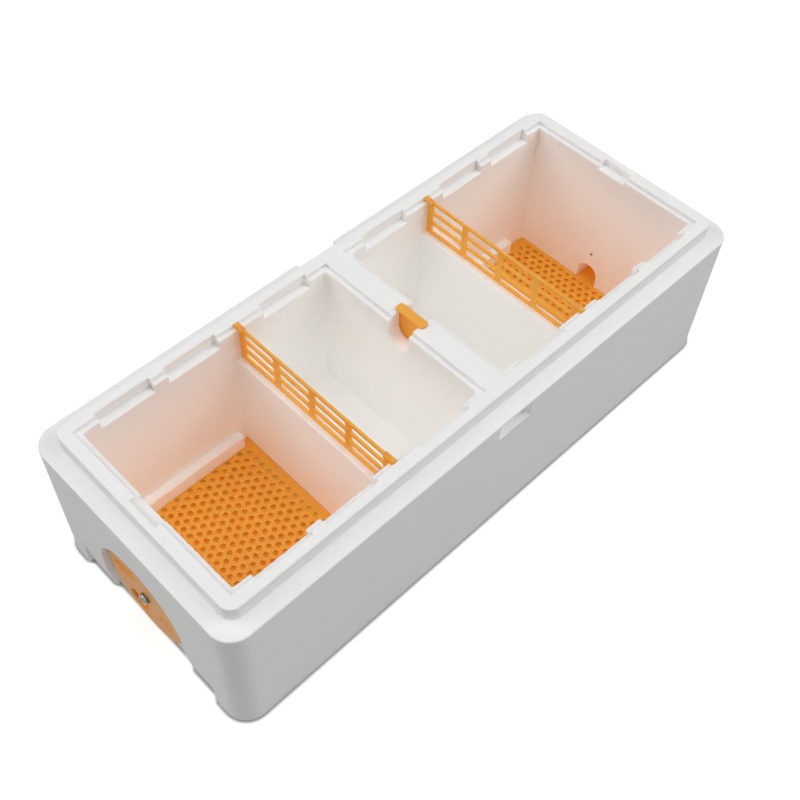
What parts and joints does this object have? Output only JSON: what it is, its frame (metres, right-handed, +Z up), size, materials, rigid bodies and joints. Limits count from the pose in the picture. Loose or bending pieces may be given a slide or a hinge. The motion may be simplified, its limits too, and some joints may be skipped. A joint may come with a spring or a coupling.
{
  "type": "bee pollination box",
  "caption": "White foam double box for small bee colonies: vented floor plates, feeder grilles, a lift-out middle gate and turning entrance discs at both ends.",
  "frame": {"origin": "middle of the box's footprint, on the surface that it stands on", "axes": "+X along the box to its right end, +Y to the back with the rim notch, +Z up"},
  "size_m": [0.52, 0.212, 0.1445],
  "materials": {
    "white_foam": "matte",
    "orange_plastic": "satin",
    "zinc_steel": "satin"
  },
  "bodies": {
    "box": {"foam_body": "white_foam", "left_floor_grid": "orange_plastic", "right_floor_grid": "orange_plastic", "left_disc_screw": "zinc_steel", "right_disc_screw": "zinc_steel"},
    "left_disc": {"left_entrance_disc": "orange_plastic"},
    "right_disc": {"right_entrance_disc": "orange_plastic"},
    "left_grille": {"left_feeder_grille": "orange_plastic"},
    "right_grille": {"right_feeder_grille": "orange_plastic"},
    "gate": {"middle_gate": "orange_plastic"}
  },
  "joints": [
    {"name": "left_disc_turn", "type": "hinge", "parent": "box", "child": "left_disc", "pos_m": [-0.255, 0, 0.045], "axis": [-1, 0, 0], "continuous": true},
    {"name": "right_disc_turn", "type": "hinge", "parent": "box", "child": "right_disc", "pos_m": [0.255, 0, 0.045], "axis": [1, 0, 0], "continuous": true},
    {"name": "left_grille_lift", "type": "slide", "parent": "box", "child": "left_grille", "axis": [0, 0, 1], "range_m": [0, 0.04]},
    {"name": "right_grille_lift", "type": "slide", "parent": "box", "child": "right_grille", "axis": [0, 0, 1], "range_m": [0, 0.04]},
    {"name": "gate_lift", "type": "slide", "parent": "box", "child": "gate", "axis": [0, 0, 1], "range_m": [0, 0.03]}
  ]
}
